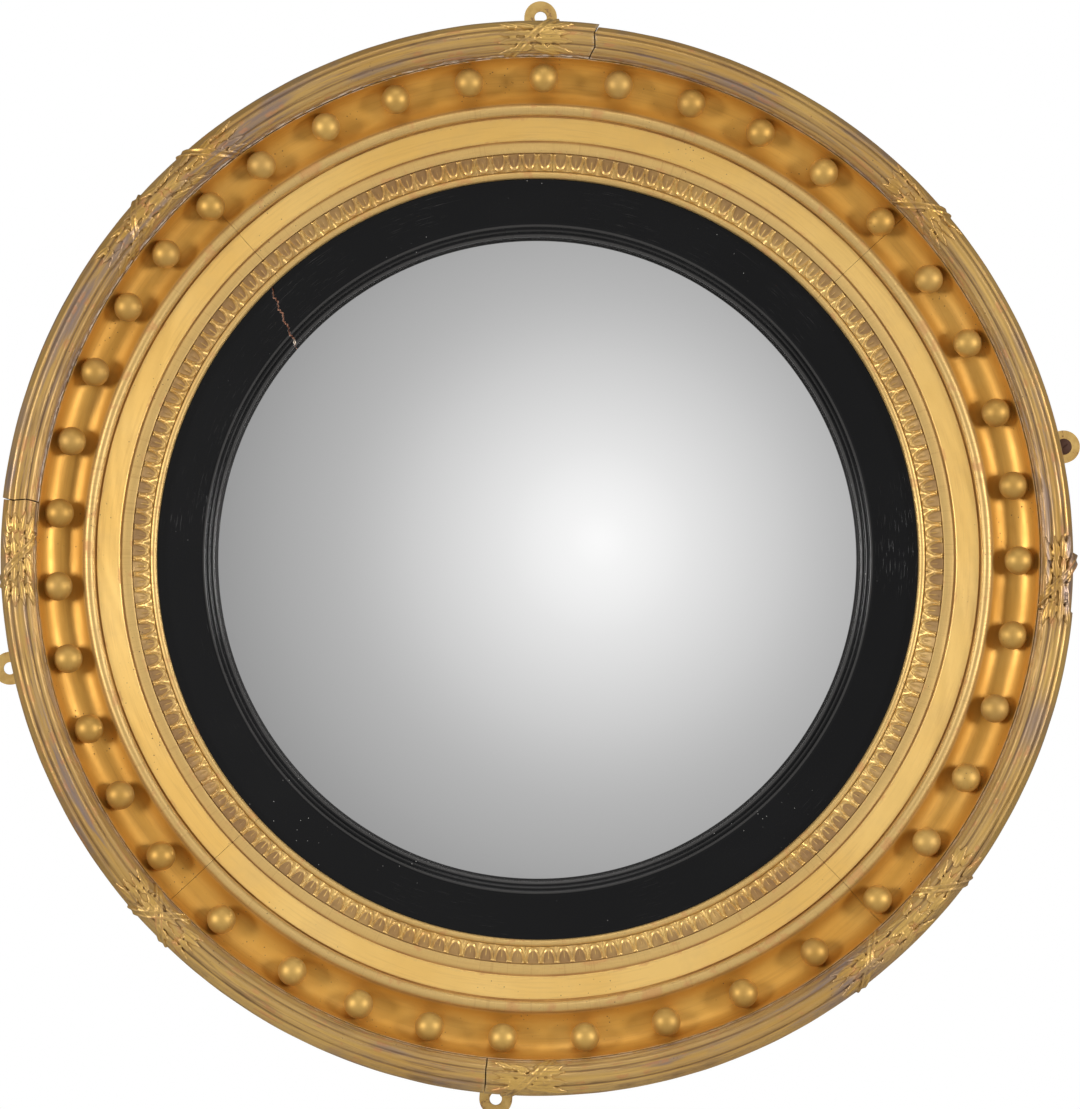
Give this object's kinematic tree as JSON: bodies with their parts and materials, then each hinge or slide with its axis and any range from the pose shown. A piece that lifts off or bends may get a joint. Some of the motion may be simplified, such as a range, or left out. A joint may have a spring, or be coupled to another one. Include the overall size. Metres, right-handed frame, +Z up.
{
  "type": "convex wall mirror",
  "caption": "Round convex mirror in an ebonised slip and a gilded frame with a hollow set with balls, a reeded rim and leaf ties, hung by plates at the back.",
  "frame": {"origin": "middle of the back, on the wall plane", "axes": "+Y into the wall, so the glass faces -Y; +Z up; +X to the right as seen from the front"},
  "size_m": [0.6299, 0.0642, 0.6463],
  "materials": {
    "gilded_frame": "gold leaf on gesso over turned pine, worn",
    "gilded_rim": "gold leaf on gesso, tarnished and rubbed",
    "gilded_ornament": "gold leaf on pressed composition, worn",
    "gilded_balls": "gold leaf on turned wood, burnished",
    "back_wood": "old pine, dusty",
    "ebonised_wood": "black lacquer, rubbed and scratched",
    "mirror_glass": "clear",
    "silvering": "polished",
    "old_paper": "blackened",
    "block_wood": "sawn pine",
    "backboard_wood": "planed pine, aged",
    "iron_wire": "drawn wire",
    "iron_nails": "cut nails, rusted",
    "old_brass": "tarnished",
    "screw_steel": "dull",
    "rusted_iron": "rusted, dark"
  },
  "bodies": {
    "root": {"front_felloe_top": "gilded_frame", "front_felloe_left": "gilded_frame", "front_felloe_bottom": "gilded_frame", "front_felloe_right": "gilded_frame", "back_felloe_upper_left": "back_wood", "back_felloe_lower_left": "back_wood", "back_felloe_lower_right": "back_wood", "back_felloe_upper_right": "back_wood", "rim_upper_left": "gilded_rim", "rim_lower_left": "gilded_rim", "rim_lower_right": "gilded_rim", "rim_upper_right": "gilded_rim", "leaf_tie_top": "gilded_ornament", "leaf_tie_upper_right": "gilded_ornament", "leaf_tie_right": "gilded_ornament", "leaf_tie_lower_right": "gilded_ornament", "leaf_tie_bottom": "gilded_ornament", "leaf_tie_lower_left": "gilded_ornament", "leaf_tie_left": "gilded_ornament", "leaf_tie_upper_left": "gilded_ornament", "tongue_moulding_upper_left": "gilded_ornament", "tongue_moulding_lower_left": "gilded_ornament", "tongue_moulding_lower_right": "gilded_ornament", "tongue_moulding_upper_right": "gilded_ornament", "gilt_balls": "gilded_balls", "ball_pins": "iron_wire", "ebonised_slip": "ebonised_wood", "convex_glass": "mirror_glass", "silvering": "silvering", "glass_edge_strip": "old_paper", "glass_blocks": "block_wood", "backboard_left": "backboard_wood", "backboard_middle": "backboard_wood", "backboard_right": "backboard_wood", "backboard_nails": "iron_nails", "hanging_plate_top": "old_brass", "hanging_plate_right": "old_brass", "hanging_plate_bottom": "old_brass", "hanging_plate_left": "old_brass", "plate_screws": "screw_steel", "wall_screw": "rusted_iron"}
  },
  "joints": []
}
